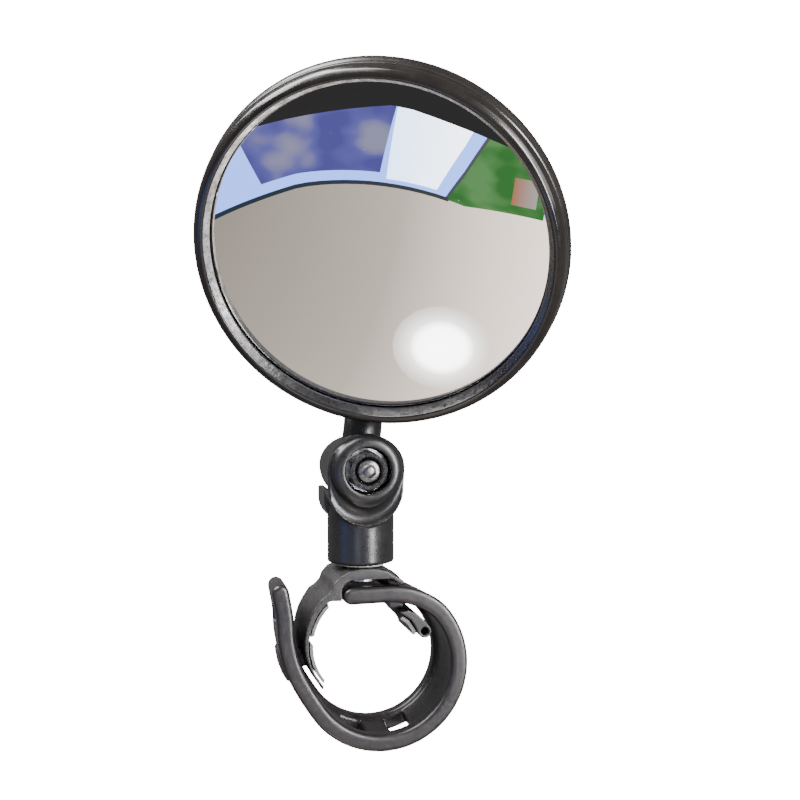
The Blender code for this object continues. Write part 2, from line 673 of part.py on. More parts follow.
def main():
    clear_scene()
    housing = make_material("housing_plastic", (0.020, 0.017, 0.015), 0.32)
    bezel = make_material("bezel_plastic", (0.024, 0.021, 0.019), 0.28)
    glass = make_material("mirror_glass", (0.86, 0.87, 0.87), 0.02, 1.0)
    knuckle = make_material("knuckle_plastic", (0.018, 0.018, 0.020), 0.35)
    saddle = make_material("saddle_plastic", (0.055, 0.052, 0.055), 0.45)
    strap = make_material("strap_rubber", (0.045, 0.040, 0.042), 0.5)
    pad = make_material("pad_rubber", (0.16, 0.15, 0.15), 0.6)
    nylon = make_material("seat_nylon", (0.60, 0.59, 0.56), 0.45)
    foam = make_material("foam", (0.05, 0.05, 0.05), 0.9)
    steel = make_material("steel", (0.45, 0.44, 0.43), 0.35, 1.0)
    black_steel = make_material("black_steel", (0.03, 0.03, 0.035), 0.3, 1.0)

    base_frame = make_frame("base_frame", (0.0, 0.0, 0.0))
    tilt_frame = make_frame("tilt_frame", (0.0, 0.0, PIVOT_Z))
    head_frame = make_frame("head_frame", ball_centre(), head_turn())

    build_saddle(saddle, base_frame)
    build_pads(pad, base_frame)
    build_strap(strap, base_frame)
    build_swivel(steel, nylon, base_frame)
    build_knuckle(knuckle, tilt_frame)
    build_hinge_hardware(black_steel, steel, nylon, tilt_frame)
    build_arm(knuckle, tilt_frame)
    build_back_shell(housing, head_frame)
    build_bezel(bezel, head_frame)
    build_glass(glass, head_frame)
    build_glass_ring(foam, head_frame)
    build_socket(nylon, housing, pad, steel, head_frame)


main()
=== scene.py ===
"""Looks of a round convex handlebar mirror: head, arm, knuckle and strap clamp.

Lengths are in millimetres in the row's frame, and each mesh is scaled to metres when it is made.
"""
import json
import math

import bmesh
import bpy
import numpy as np
from mathutils import Matrix, Vector


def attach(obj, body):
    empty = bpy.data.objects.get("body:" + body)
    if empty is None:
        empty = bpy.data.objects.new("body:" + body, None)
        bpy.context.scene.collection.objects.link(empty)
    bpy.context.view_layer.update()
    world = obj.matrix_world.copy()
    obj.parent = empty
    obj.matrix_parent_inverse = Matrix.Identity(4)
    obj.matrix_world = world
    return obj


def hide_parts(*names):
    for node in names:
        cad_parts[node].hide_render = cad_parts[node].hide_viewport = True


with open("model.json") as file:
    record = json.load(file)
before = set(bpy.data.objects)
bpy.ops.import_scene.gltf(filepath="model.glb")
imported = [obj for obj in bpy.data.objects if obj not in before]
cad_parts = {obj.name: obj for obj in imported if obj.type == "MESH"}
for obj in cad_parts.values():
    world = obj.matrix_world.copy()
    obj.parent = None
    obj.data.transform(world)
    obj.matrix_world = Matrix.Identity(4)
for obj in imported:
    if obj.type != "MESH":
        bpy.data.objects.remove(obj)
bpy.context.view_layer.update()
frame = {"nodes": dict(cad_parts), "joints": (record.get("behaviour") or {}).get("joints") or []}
NODES = frame["nodes"]
JOINTS = {joint["name"]: joint for joint in frame["joints"]}

MM = 0.001
GAP = 0.3
REACH = 12.0  # cutting shapes run this far along Y, past both sides of what they cut

# Head, round the ball's centre with the glass's axis as local Z
CHAMFER_RADII = (35.4, 36.4)
CHAMFER_FLOOR = 19.7
BALL_RADIUS = 7.2
CAVITY_RADIUS = 9.1
MOUTH_ANGLE = 56.0
GLASS_RADIUS = 36.6
GLASS_CURVE = 180.0
GLASS_EDGE = 18.85
GLASS_THICK = 1.8

# Knuckle, round the pivot
BARREL_RADIUS = 7.35
EAR_HALF = 8.5
EAR_TOP = 7.8
EAR_DROP = 12.3
EAR_OUTER = 8.6
EAR_INNER = 4.9
BOSS_OUTER = 9.3
BOSS_RADIUS = 7.9
SHOULDER_REAR = 8.0
DISC_FRONT = 3.8
DISC_REAR = 7.6
DISC_RADIUS = 8.1
DISC_TOP = 6.6
LAP_DROP = 4.8
BOLT_RADIUS = 2.5
NUT_FLATS = 8.0
POCKET_RADIUS = 5.1
POCKET_FLOOR = 6.1
REAR_FLOOR = 5.0
WASHER_THICK = 0.5
SCOOP_MAJOR = 7.8
SCOOP_MINOR = 2.3
SCOOP_DROP = 2.5
SCREW_CLEAR = 2.3
SCREW_DEPTH = 9.5

# Clamp, round the bar's axis
CROWN_TOP = 16.2
CEILING = 14.4
JAW_INNER = 13.0
JAW_OUTER = 14.2
EYE_CENTRE = (12.8, 2.4)
SADDLE_HALF = 8.4
LIP_THICK = 0.7
STRAP_HALF = 8.85
STRAP_CONE = 0.5
STRAP_THICK = 3.64
STRAP_CENTRE = Vector((3.4, -4.8))
STRAP_RADIUS = 16.7
SLOT_LONG = 9.6
SLOT_SHORT = 5.0
SLOT_PITCH = 10.9
HOOK_AT = Vector((-15.9, -4.5))
HOOK_CLEAR = 4.4
HOOK_WIDE = 3.9
CHANNEL_HALF = 5.9
CHANNEL_DEPTH = 0.75

# Room that the glass reflects: azimuths in degrees, distances from the glass in millimetres
ROOM_LEFT = -84.0
ROOM_RIGHT = 12.0
ROOM_FAR = 320.0
ROOM_NEAR = 316.0
WHITE = (1.0, 1.0, 1.0)

PIVOT = Vector(JOINTS["knuckle_tilt"]["pos_m"]) / MM
BARREL_BOTTOM = CROWN_TOP + 1.0 - PIVOT.z
BALL = Vector(JOINTS["head_spin"]["pos_m"]) / MM


# ---------------------------------------------------------------- frames and mesh helpers

def head_matrix():
    """Places the head's local frame: Z along the glass's axis, X level, origin at the ball's centre."""
    look = Vector(JOINTS["head_spin"]["axis"]).normalized()
    right = Vector((0.0, 0.0, 1.0)).cross(look).normalized()
    rise = look.cross(right)
    turn = Matrix((right, rise, look)).transposed().to_4x4()
    return Matrix.Translation(BALL) @ turn


HEAD = head_matrix()
TILT = Matrix.Translation(PIVOT)
BASE = Matrix.Identity(4)


def make_object(name, data, place=BASE, crease=35.0):
    """Turns a bmesh in millimetres into a named object in the row frame."""
    bmesh.ops.transform(data, matrix=Matrix.Scale(MM, 4) @ place, verts=data.verts)
    bmesh.ops.recalc_face_normals(data, faces=data.faces)
    mesh = bpy.data.meshes.new(name)
    data.to_mesh(mesh)
    data.free()
    mesh.shade_smooth()
    mesh.set_sharp_from_angle(angle=math.radians(crease))
    piece = bpy.data.objects.new(name, mesh)
    bpy.context.scene.collection.objects.link(piece)
    return piece


def finish_piece(piece, material, body, slot, *nodes):
    """Gives a piece its material and its body, and hides the CAD nodes that it stands for; slot is not used.
    """
    piece.data.materials.clear()
    piece.data.materials.append(material)
    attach(piece, body)
    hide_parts(*nodes)
    return piece


def bridge(data, ring, following):
    """Joins two rings; a ring of one vertex is a pole."""
    count = max(len(ring), len(following))
    for step in range(count):
        after = (step + 1) % count
        if len(ring) > 1 and len(following) > 1:
            data.faces.new((ring[step], ring[after], following[after], following[step]))
        elif len(ring) > 1:
            data.faces.new((ring[step], ring[after], following[0]))
        elif len(following) > 1:
            data.faces.new((ring[0], following[after], following[step]))


def lathe(profile, segments):
    """Turns a closed outline of (radius, height) points about Z."""
    data = bmesh.new()
    rings = []
    for radius, height in profile:
        if radius < 1e-6:
            rings.append([data.verts.new((0.0, 0.0, height))])
            continue
        angles = [2.0 * math.pi * step / segments for step in range(segments)]
        rings.append([data.verts.new((radius * math.cos(angle), radius * math.sin(angle), height))
                      for angle in angles])
    for index, ring in enumerate(rings):
        bridge(data, ring, rings[(index + 1) % len(rings)])
    return data


def sections_solid(sections):
    """Closed solid through matching outlines; each section is (y, outline of (x, z))."""
    data = bmesh.new()
    rings = [[data.verts.new((x, y, z)) for x, z in outline] for y, outline in sections]
    for ring, following in zip(rings, rings[1:]):
        bridge(data, ring, following)
    data.faces.new(rings[0])
    data.faces.new(rings[-1])
    return data


def inset(outline, distance):
    """Moves each point of an anticlockwise or clockwise outline inwards."""
    points = [Vector(point) for point in outline]
    count = len(points)
    following = points[1:] + points[:1]
    area = sum(point.x * after.y - after.x * point.y for point, after in zip(points, following))
    sign = 1.0 if area > 0.0 else -1.0
    moved = []
    for index, point in enumerate(points):
        along = (points[(index + 1) % count] - points[index - 1]).normalized()
        moved.append(tuple(point + Vector((-along.y, along.x)) * sign * distance))
    return moved


def rounded_rims(low, high, edge, steps):
    """Places along Y, and how far the outline is drawn in at each, for two rims rounded by edge."""
    rim = []
    for step in range(steps, -1, -1):
        angle = 0.5 * math.pi * step / steps
        rim.append((low + edge * (1.0 - math.sin(angle)), edge * (1.0 - math.cos(angle))))
    return rim + [(low + high - y, depth) for y, depth in reversed(rim)]


def prism(outline, low, high, edge=0.0, steps=3):
    """Extrudes an outline of (x, z) points along Y, with its two rims rounded by edge."""
    if edge == 0.0:
        return sections_solid([(low, outline), (high, outline)])
    rims = rounded_rims(low, high, edge, steps)
    return sections_solid([(y, inset(outline, depth)) for y, depth in rims])


def cylinder(radius, low, high, segments, edge=0.0, steps=3):
    """Upright round rod from low to high, with its rims rounded by edge."""
    angles = [2.0 * math.pi * step / segments for step in range(segments)]
    circle = [(radius * math.cos(angle), radius * math.sin(angle)) for angle in angles]
    return turned(prism(circle, low, high, edge, steps))


def turned(data):
    """Quarter turn about X: what points up goes to -Y, and what points along Y goes up."""
    bmesh.ops.rotate(data, verts=data.verts, matrix=Matrix.Rotation(math.radians(90.0), 3, "X"))
    return data


def arc(centre, radius, start, end, steps):
    """Points on a circle from one angle to another, in degrees."""
    line = []
    for step in range(steps + 1):
        angle = math.radians(start + (end - start) * step / steps)
        line.append((centre[0] + radius * math.cos(angle), centre[1] + radius * math.sin(angle)))
    return line


def smooth_line(points, steps):
    """Catmull-Rom curve through the given points."""
    padded = [points[0] * 2.0 - points[1]] + list(points) + [points[-1] * 2.0 - points[-2]]
    line = []
    for index in range(1, len(padded) - 2):
        before, start, end, after = padded[index - 1:index + 3]
        for step in range(steps):
            t = step / steps
            line.append(0.5 * (2.0 * start + (end - before) * t
                               + (2.0 * before - 5.0 * start + 4.0 * end - after) * t ** 2
                               + (3.0 * start - before - 3.0 * end + after) * t ** 3))
    line.append(points[-1].copy())
    return line


def applied(piece):
    """The mesh of an object with its modifiers applied."""
    graph = bpy.context.evaluated_depsgraph_get()
    graph.update()
    return bpy.data.meshes.new_from_object(piece.evaluated_get(graph))


def add_booleans(base, tools):
    """Adds a boolean for each (operation, tool) pair, in order."""
    for operation, tool in tools:
        modifier = base.modifiers.new(tool.name, "BOOLEAN")
        modifier.operation = operation
        modifier.object = tool


def remove_all(base, tools):
    """Deletes a base shape and the tools that were used on it."""
    for item in [base] + [pair[1] for pair in tools]:
        bpy.data.objects.remove(item, do_unlink=True)


def fused(name, base, tools, voxel, rounds, shape=None):
    """Booleans in order, then a fine remesh and smoothing, so that edges and joins are softly rounded.

    shape, if given, moves an array of points in millimetres between the remesh and the smoothing.
    """
    add_booleans(base, tools)
    remesh = base.modifiers.new("remesh", "REMESH")
    remesh.mode = "VOXEL"
    remesh.voxel_size = voxel * MM
    remesh.use_smooth_shade = True
    mesh = applied(base)
    if shape is not None:
        places = np.empty(len(mesh.vertices) * 3)
        mesh.vertices.foreach_get("co", places)
        places = shape(places.reshape(-1, 3) / MM) * MM
        mesh.vertices.foreach_set("co", places.ravel())
    piece = bpy.data.objects.new(name, mesh)
    bpy.context.scene.collection.objects.link(piece)
    smooth = piece.modifiers.new("smooth", "SMOOTH")
    smooth.factor = 0.5
    smooth.iterations = rounds
    final = applied(piece)
    piece.modifiers.clear()
    piece.data = final
    final.shade_smooth()
    remove_all(base, tools)
    return piece


# ---------------------------------------------------------------- materials

class Finish:
    """A Principled material whose colour, roughness and bump come from procedural nodes."""

    def __init__(self, name, roughness, metallic=0.0, specular=0.5):
        self.material = bpy.data.materials.new(name)
        self.material.use_nodes = True
        self.tree = self.material.node_tree
        self.shader = self.tree.nodes["Principled BSDF"]
        self.shader.inputs["Roughness"].default_value = roughness
        self.shader.inputs["Metallic"].default_value = metallic
        self.shader.inputs["Specular IOR Level"].default_value = specular
        self.place = self.node("ShaderNodeTexCoord").outputs["Object"]
        self.normal = None

    def node(self, kind, **values):
        made = self.tree.nodes.new(kind)
        for key, value in values.items():
            setattr(made, key, value)
        return made

    def link(self, source, target):
        self.tree.links.new(source, target)

    def noise(self, scale, detail=3.0, stretch=None):
        """Noise whose scale counts features per metre; stretch squeezes it along some axes."""
        made = self.node("ShaderNodeTexNoise")
        made.inputs["Scale"].default_value = scale
        made.inputs["Detail"].default_value = detail
        source = self.place
        if stretch is not None:
            mapping = self.node("ShaderNodeMapping")
            mapping.inputs["Scale"].default_value = stretch
            mapping.inputs["Rotation"].default_value = (0.3, 0.5, 0.9)
            self.link(source, mapping.inputs["Vector"])
            source = mapping.outputs["Vector"]
        self.link(source, made.inputs["Vector"])
        return made.outputs["Fac"]

    def ramp(self, source, stops):
        """Colours along a value; each stop is (position, colour)."""
        made = self.node("ShaderNodeValToRGB")
        ramp = made.color_ramp
        while len(ramp.elements) < len(stops):
            ramp.elements.new(0.5)
        for element, (position, colour) in zip(ramp.elements, stops):
            element.position = position
            element.color = (*colour, 1.0)
        self.link(source, made.inputs["Fac"])
        return made.outputs["Color"]

    def remap(self, source, low, high, from_low=0.3, from_high=0.7):
        """Maps a value from one range onto another; the default range is where noise mostly lies."""
        made = self.node("ShaderNodeMapRange")
        made.inputs["From Min"].default_value = from_low
        made.inputs["From Max"].default_value = from_high
        made.inputs["To Min"].default_value = low
        made.inputs["To Max"].default_value = high
        self.link(source, made.inputs["Value"])
        return made.outputs["Result"]

    def colour(self, source, low, high):
        self.link(self.ramp(source, [(0.35, low), (0.65, high)]), self.shader.inputs["Base Color"])

    def roughness(self, source, low, high):
        self.link(self.remap(source, low, high), self.shader.inputs["Roughness"])

    def bump(self, source, height):
        """Adds a bump of a height in millimetres on top of those already there."""
        made = self.node("ShaderNodeBump")
        made.inputs["Distance"].default_value = height * MM
        made.inputs["Strength"].default_value = 1.0
        self.link(source, made.inputs["Height"])
        if self.normal is not None:
            self.link(self.normal, made.inputs["Normal"])
        self.normal = made.outputs["Normal"]
        self.link(self.normal, self.shader.inputs["Normal"])


def housing_finish():
    made = Finish("housing_gloss", 0.28, specular=0.4)
    made.colour(made.noise(90.0, 4.0), (0.010, 0.0085, 0.008), (0.018, 0.015, 0.0135))
    made.roughness(made.noise(600.0, 5.0, (1.0, 1.0, 6.0)), 0.22, 0.34)
    made.bump(made.noise(1400.0, 2.0), 0.001)
    made.bump(made.noise(260.0, 2.0), 0.004)
    return made.material


def bezel_finish():
    made = Finish("bezel_gloss", 0.2, specular=0.45)
    made.colour(made.noise(120.0, 4.0), (0.010, 0.0085, 0.008), (0.018, 0.015, 0.0135))
    made.roughness(made.noise(500.0, 3.0), 0.15, 0.24)
    made.bump(made.noise(400.0, 2.0), 0.001)
    return made.material


def chamfer_finish():
    """The bezel's inner chamfer: a painted highlight, mottled by noise, at its upper left and painted shade
    at its lower right.
    """
    made = Finish("chamfer_painted_highlight", 0.3, specular=0.7, metallic=0.6)
    # Painted highlight: a bright colour, mottled by noise, for the chamfer's upper left
    painted_highlight_colour = made.ramp(made.noise(500.0, 5.0), [(0.35, (0.22, 0.21, 0.205)), (0.65, (0.72, 0.71, 0.71))])
    # Painted light: the colour goes from painted shade at the lower right to the painted highlight at the
    # upper left, by position along this direction
    side = made.node("ShaderNodeVectorMath", operation="DOT_PRODUCT")
    upper_left = (-0.6, 0.0, 0.8)
    made.link(made.place, side.inputs[0])
    side.inputs[1].default_value = upper_left
    share = made.remap(side.outputs["Value"], 0.0, 1.0, 0.070, 0.096)
    painted_light_mix = made.node("ShaderNodeMix", data_type="RGBA")
    painted_light_mix.inputs["A"].default_value = (0.03, 0.028, 0.028, 1.0)
    made.link(share, painted_light_mix.inputs["Factor"])
    made.link(painted_highlight_colour, painted_light_mix.inputs["B"])
    made.link(painted_light_mix.outputs["Result"], made.shader.inputs["Base Color"])
    made.roughness(made.noise(1500.0, 4.0), 0.24, 0.42)
    made.bump(made.noise(700.0, 4.0), 0.16)
    made.bump(made.noise(2600.0, 3.0), 0.03)
    return made.material


def glass_finish():
    made = Finish("silvered_glass", 0.006, metallic=1.0)
    made.colour(made.noise(18.0, 3.0), (0.90, 0.905, 0.905), (0.945, 0.945, 0.94))
    speck = made.noise(1100.0, 2.0)
    made.link(made.remap(speck, 0.0, 0.16, 0.72, 0.80), made.shader.inputs["Roughness"])
    return made.material


def knuckle_finish():
    made = Finish("knuckle_satin", 0.3, specular=0.4)
    made.colour(made.noise(140.0, 4.0), (0.0085, 0.008, 0.0085), (0.015, 0.014, 0.015))
    made.roughness(made.noise(900.0, 5.0), 0.26, 0.36)
    made.bump(made.noise(3200.0, 2.0), 0.003)
    made.bump(made.noise(420.0, 2.0), 0.008)
    return made.material


def saddle_finish():
    made = Finish("saddle_moulded", 0.4, specular=0.5)
    made.colour(made.noise(260.0, 5.0), (0.008, 0.0072, 0.0075), (0.020, 0.0175, 0.018))
    made.roughness(made.noise(1200.0, 5.0), 0.34, 0.5)
    made.bump(made.noise(600.0, 3.0), 0.05)
    made.bump(made.noise(2600.0, 2.0), 0.008)
    return made.material


def strap_finish():
    made = Finish("strap_satin", 0.36, specular=0.45)
    made.colour(made.noise(200.0, 5.0), (0.008, 0.0062, 0.0066), (0.017, 0.0135, 0.014))
    made.roughness(made.noise(800.0, 5.0), 0.28, 0.42)
    made.bump(made.noise(350.0, 3.0), 0.02)
    made.bump(made.noise(2400.0, 2.0), 0.004)
    return made.material


def rubber_finish():
    made = Finish("pad_rubber", 0.6)
    made.colour(made.noise(400.0, 5.0), (0.11, 0.10, 0.10), (0.20, 0.185, 0.185))
    made.roughness(made.noise(1500.0, 4.0), 0.5, 0.75)
    made.bump(made.noise(1800.0, 3.0), 0.05)
    return made.material


def nylon_finish():
    made = Finish("nylon", 0.45)
    made.colour(made.noise(300.0, 3.0), (0.52, 0.51, 0.47), (0.64, 0.63, 0.60))
    made.roughness(made.noise(900.0, 3.0), 0.38, 0.55)
    made.bump(made.noise(2000.0, 2.0), 0.01)
    return made.material


def foam_finish():
    made = Finish("foam", 0.9)
    made.colour(made.noise(1500.0, 4.0), (0.03, 0.03, 0.03), (0.07, 0.07, 0.07))
    made.bump(made.noise(3500.0, 4.0), 0.15)
    return made.material


def steel_finish():
    made = Finish("zinc_steel", 0.32, metallic=1.0)
    made.colour(made.noise(900.0, 4.0), (0.34, 0.33, 0.32), (0.56, 0.55, 0.54))
    made.roughness(made.noise(2400.0, 5.0, (1.0, 8.0, 1.0)), 0.22, 0.45)
    made.bump(made.noise(3000.0, 3.0), 0.015)
    return made.material


def bolt_finish():
    made = Finish("bolt_dark_steel", 0.34, metallic=1.0)
    made.colour(made.noise(1100.0, 4.0), (0.07, 0.068, 0.066), (0.17, 0.165, 0.16))
    made.roughness(made.noise(2400.0, 5.0), 0.24, 0.45)
    made.bump(made.noise(2500.0, 3.0), 0.02)
    return made.material


def nut_finish():
    made = Finish("nut_black", 0.26, metallic=0.7, specular=0.7)
    made.colour(made.noise(1000.0, 4.0), (0.010, 0.010, 0.0105), (0.024, 0.024, 0.026))
    made.roughness(made.noise(2200.0, 5.0), 0.2, 0.38)
    made.bump(made.noise(2800.0, 3.0), 0.012)
    return made.material


# ---------------------------------------------------------------- head

def rounded_profile(points, steps=4):
    """Turned outline with each corner drawn as a short curve."""
    line = []
    count = len(points)
    for index, point in enumerate(points):
        here = Vector(point)
        before = Vector(points[index - 1])
        after = Vector(points[(index + 1) % count])
        reach = min(0.35, 0.3 * (here - before).length, 0.3 * (after - here).length)
        start = here + (before - here).normalized() * reach
        end = here + (after - here).normalized() * reach
        for step in range(steps + 1):
            t = step / steps
            line.append(tuple(start.lerp(here, t).lerp(here.lerp(end, t), t)))
    return line


def build_bezel(outer, chamfer):
    """Front ring: stepped outer wall with a fine ridge, round front lip and a rough chamfer inside."""
    outside = [(39.05, 17.1), (39.15, 18.0), (39.12, 18.7), (38.75, 18.95), (38.75, 19.2), (39.0, 19.45),
               (38.85, 20.2), (38.45, 21.1), (37.7, 21.75), (36.9, 21.98), (36.55, 21.85), (36.35, 21.5)]
    inside = [(35.5, 20.0), (35.5, 19.4), (37.0, 19.4), (37.0, 15.0), (37.9, 15.0), (37.9, 17.1)]
    piece = make_object("bezel_ring", lathe(rounded_profile(outside + inside), 256), HEAD, 50.0)
    finish_piece(piece, outer, "head", "bezel_plastic", "front_bezel")
    piece.data.materials.append(chamfer)
    to_head = HEAD.inverted()
    for face in piece.data.polygons:
        place = to_head @ (face.center / MM)
        if CHAMFER_RADII[0] < place.xy.length < CHAMFER_RADII[1] and place.z > CHAMFER_FLOOR:
            face.material_index = 1
    return piece


def build_back_shell(material):
    """Domed cover with a round cavity at its back for the ball."""
    mouth = math.radians(MOUTH_ANGLE)
    outside = [(38.9, 16.8), (39.4, 15.8), (39.4, 14.5), (38.4, 12.0), (35.8, 9.4), (32.6, 7.6),
               (28.0, 6.0), (20.0, 4.1), (15.6, 3.2), (14.9, 1.6), (14.4, -0.5), (12.8, -3.2), (10.6, -4.9),
               (9.2, -5.5)]
    cavity = []
    for step in range(9):
        angle = mouth + (math.pi / 2.0 - mouth) * step / 8
        cavity.append((CAVITY_RADIUS * math.sin(angle), -CAVITY_RADIUS * math.cos(angle)))
    inside = [(CAVITY_RADIUS, 6.8), (14.5, 6.8), (15.0, 5.2), (20.0, 6.1), (28.6, 8.2), (34.4, 11.4),
              (35.0, 14.6), (38.2, 14.6), (38.2, 16.8)]
    smooth = [tuple(point) for point in smooth_line([Vector(point) for point in outside], 5)]
    piece = make_object("back_cover", lathe(smooth + cavity + inside, 192), HEAD, 40.0)
    return finish_piece(piece, material, "head", "housing_plastic", "back_shell")


def build_glass(material):
    """Convex glass with ground rims; its two faces are concentric."""
    rim = math.sqrt(GLASS_CURVE ** 2 - GLASS_RADIUS ** 2)
    steps = 32
    ground = 0.25
    front = []
    for step in range(steps + 1):
        radius = (GLASS_RADIUS - ground) * step / steps
        front.append((radius, GLASS_EDGE + math.sqrt(GLASS_CURVE ** 2 - radius ** 2) - rim))
    back = [(radius, height - GLASS_THICK) for radius, height in reversed(front)]
    side = [(GLASS_RADIUS, GLASS_EDGE - ground), (GLASS_RADIUS, GLASS_EDGE - GLASS_THICK + ground)]
    piece = make_object("convex_glass", lathe(front + side + back, 256), HEAD, 30.0)
    return finish_piece(piece, material, "head", "mirror_glass", "mirror_glass")


# ---------------------------------------------------------------- knuckle and arm

def stretched_top(radius, height):
    """Upper half of a circle about the pivot, scaled to a height."""
    return [(x, z * height / radius) for x, z in arc((0.0, 0.0), radius, 0.0, 180.0, 60)]


def ear_outline():
    low_radius = 8.3
    low_centre = (0.0, low_radius - EAR_DROP)
    return stretched_top(EAR_HALF, EAR_TOP) + arc(low_centre, low_radius, 182.0, 358.0, 60)


def shoulder_outline():
    half = 8.3
    top = 1.3
    corner = 5.3
    left = arc((corner - half, -7.2), corner, 180.0, 270.0, 16)
    right = arc((half - corner, -7.2), corner, 270.0, 360.0, 16)
    return [(-half, top)] + left + right + [(half, top)]


def disc_outline():
    return stretched_top(DISC_RADIUS, DISC_TOP) + arc((0.0, 0.0), DISC_RADIUS, 183.0, 357.0, 58)


def torus(major, minor, sides, turns):
    """Ring about Z."""
    angles = [2.0 * math.pi * step / sides for step in range(sides)]
    return lathe([(major + minor * math.cos(angle), minor * math.sin(angle)) for angle in angles], turns)


def cross_pin(name, radius, low, high, segments, edge=0.0, steps=3):
    """Round cutter or boss through the pivot; low and high count towards the front."""
    return make_object(name, turned(cylinder(radius, low, high, segments, edge, steps)), TILT)


def build_knuckle(material):
    """Barrel with a boss-fronted ear; a crescent scoop runs under the boss."""
    base = make_object("knuckle_base", prism(ear_outline(), -EAR_OUTER, 0.0, 1.3, 5), TILT)
    shoulder = prism(shoulder_outline(), -1.3, SHOULDER_REAR, 0.8)
    barrel = cylinder(BARREL_RADIUS, BARREL_BOTTOM, -5.0, 144, 0.45)
    scoop = turned(torus(SCOOP_MAJOR, SCOOP_MINOR, 32, 96))
    bmesh.ops.translate(scoop, verts=scoop.verts, vec=(0.0, -EAR_OUTER - 0.5, -SCOOP_DROP))
    lap = [(-REACH, -LAP_DROP), (REACH, -LAP_DROP), (REACH, REACH), (-REACH, REACH)]
    bore = cylinder(SCREW_CLEAR, BARREL_BOTTOM - 1.0, BARREL_BOTTOM + SCREW_DEPTH, 48)
    tools = [
        ("UNION", make_object("tool_shoulder", shoulder, TILT)),
        ("UNION", make_object("tool_barrel", barrel, TILT)),
        ("DIFFERENCE", make_object("tool_scoop", scoop, TILT)),
        ("UNION", cross_pin("tool_boss", BOSS_RADIUS, EAR_INNER - 1.0, BOSS_OUTER, 120, 2.0, 7)),
        ("DIFFERENCE", make_object("tool_lap", prism(lap, -EAR_INNER, REACH), TILT)),
        ("DIFFERENCE", cross_pin("tool_seat", DISC_RADIUS + 0.4, -REACH, EAR_INNER, 96)),
        ("DIFFERENCE", cross_pin("tool_hole", BOLT_RADIUS + GAP, -REACH, REACH, 48)),
        ("DIFFERENCE", cross_pin("tool_pocket", POCKET_RADIUS, POCKET_FLOOR, REACH, 96)),
        ("DIFFERENCE", make_object("tool_bore", bore, TILT)),
    ]
    piece = fused("knuckle_body", base, tools, 0.2, 7)
    return finish_piece(piece, material, "knuckle", "knuckle_plastic", "knuckle_barrel")


def arm_stations():
    """Centre, half width and half depth of the arm's oval section, from the knuckle's disc to the ball."""
    ball = BALL - PIVOT
    yaw = math.radians(15.0)
    rise = math.radians(8.0)
    leg = Vector((math.sin(yaw) * math.cos(rise), math.cos(yaw) * math.cos(rise), math.sin(rise)))
    return [
        (Vector((0.3, 2.9, 3.0)), 4.3, 4.1),
        (Vector((1.2, 3.4, 8.8)), 4.3, 4.0),
        (Vector((1.8, 6.2, 13.2)), 4.3, 3.8),
        (Vector((2.4, 10.6, 18.5)), 4.2, 3.6),
        (Vector((3.5, 13.7, 25.8)), 4.1, 3.4),
        (Vector((5.6, 15.6, 35.0)), 4.0, 3.4),
        (ball + leg * 20.3 + Vector((-0.9, 0.4, -9.0)), 3.9, 3.5),
        (ball + leg * 18.0 + Vector((0.0, 0.0, -2.6)), 3.7, 3.6),
        (ball + leg * 13.3, 3.2, 3.2),
        (ball + leg * 8.6, 2.5, 2.5),
        (ball + leg * 5.0, 2.5, 2.5),
    ]


def swept_rod(stations, steps, sides):
    """Rod with an oval section along a smooth line."""
    centres = smooth_line([station[0] for station in stations], steps)
    sizes = smooth_line([Vector((station[1], station[2])) for station in stations], steps)
    data = bmesh.new()
    angles = [2.0 * math.pi * step / sides for step in range(sides)]
    side = Vector((1.0, 0.0, 0.0))
    rings = []
    for index, centre in enumerate(centres):
        along = (centres[min(index + 1, len(centres) - 1)] - centres[max(index - 1, 0)]).normalized()
        side = (side - along * side.dot(along)).normalized()
        back = along.cross(side)
        rings.append([data.verts.new(centre + side * math.cos(angle) * sizes[index].x
                                     + back * math.sin(angle) * sizes[index].y) for angle in angles])
    for ring, following in zip(rings, rings[1:]):
        bridge(data, ring, following)
    data.faces.new(rings[0])
    data.faces.new(rings[-1])
    return data


def build_arm(material):
    """Disc of the half lap, oval arm and ball."""
    front = 8.0
    behind = -9.0
    base = make_object("arm_base", swept_rod(arm_stations(), 8, 40), TILT)
    sphere = bmesh.new()
    bmesh.ops.create_uvsphere(sphere, u_segments=64, v_segments=32, radius=BALL_RADIUS - 0.05)
    bmesh.ops.translate(sphere, verts=sphere.verts, vec=BALL - PIVOT)
    tools = [
        ("UNION", make_object("tool_disc", prism(disc_outline(), -DISC_FRONT, DISC_REAR, 0.7), TILT)),
        ("UNION", make_object("tool_ball", sphere, TILT)),
        ("DIFFERENCE", cross_pin("tool_arm_hole", BOLT_RADIUS + GAP, behind, front, 48)),
        ("DIFFERENCE", cross_pin("tool_arm_pocket", POCKET_RADIUS, behind, -REAR_FLOOR, 96)),
    ]
    piece = fused("arm_body", base, tools, 0.25, 8)
    return finish_piece(piece, material, "arm", "knuckle_plastic", "mirror_arm")


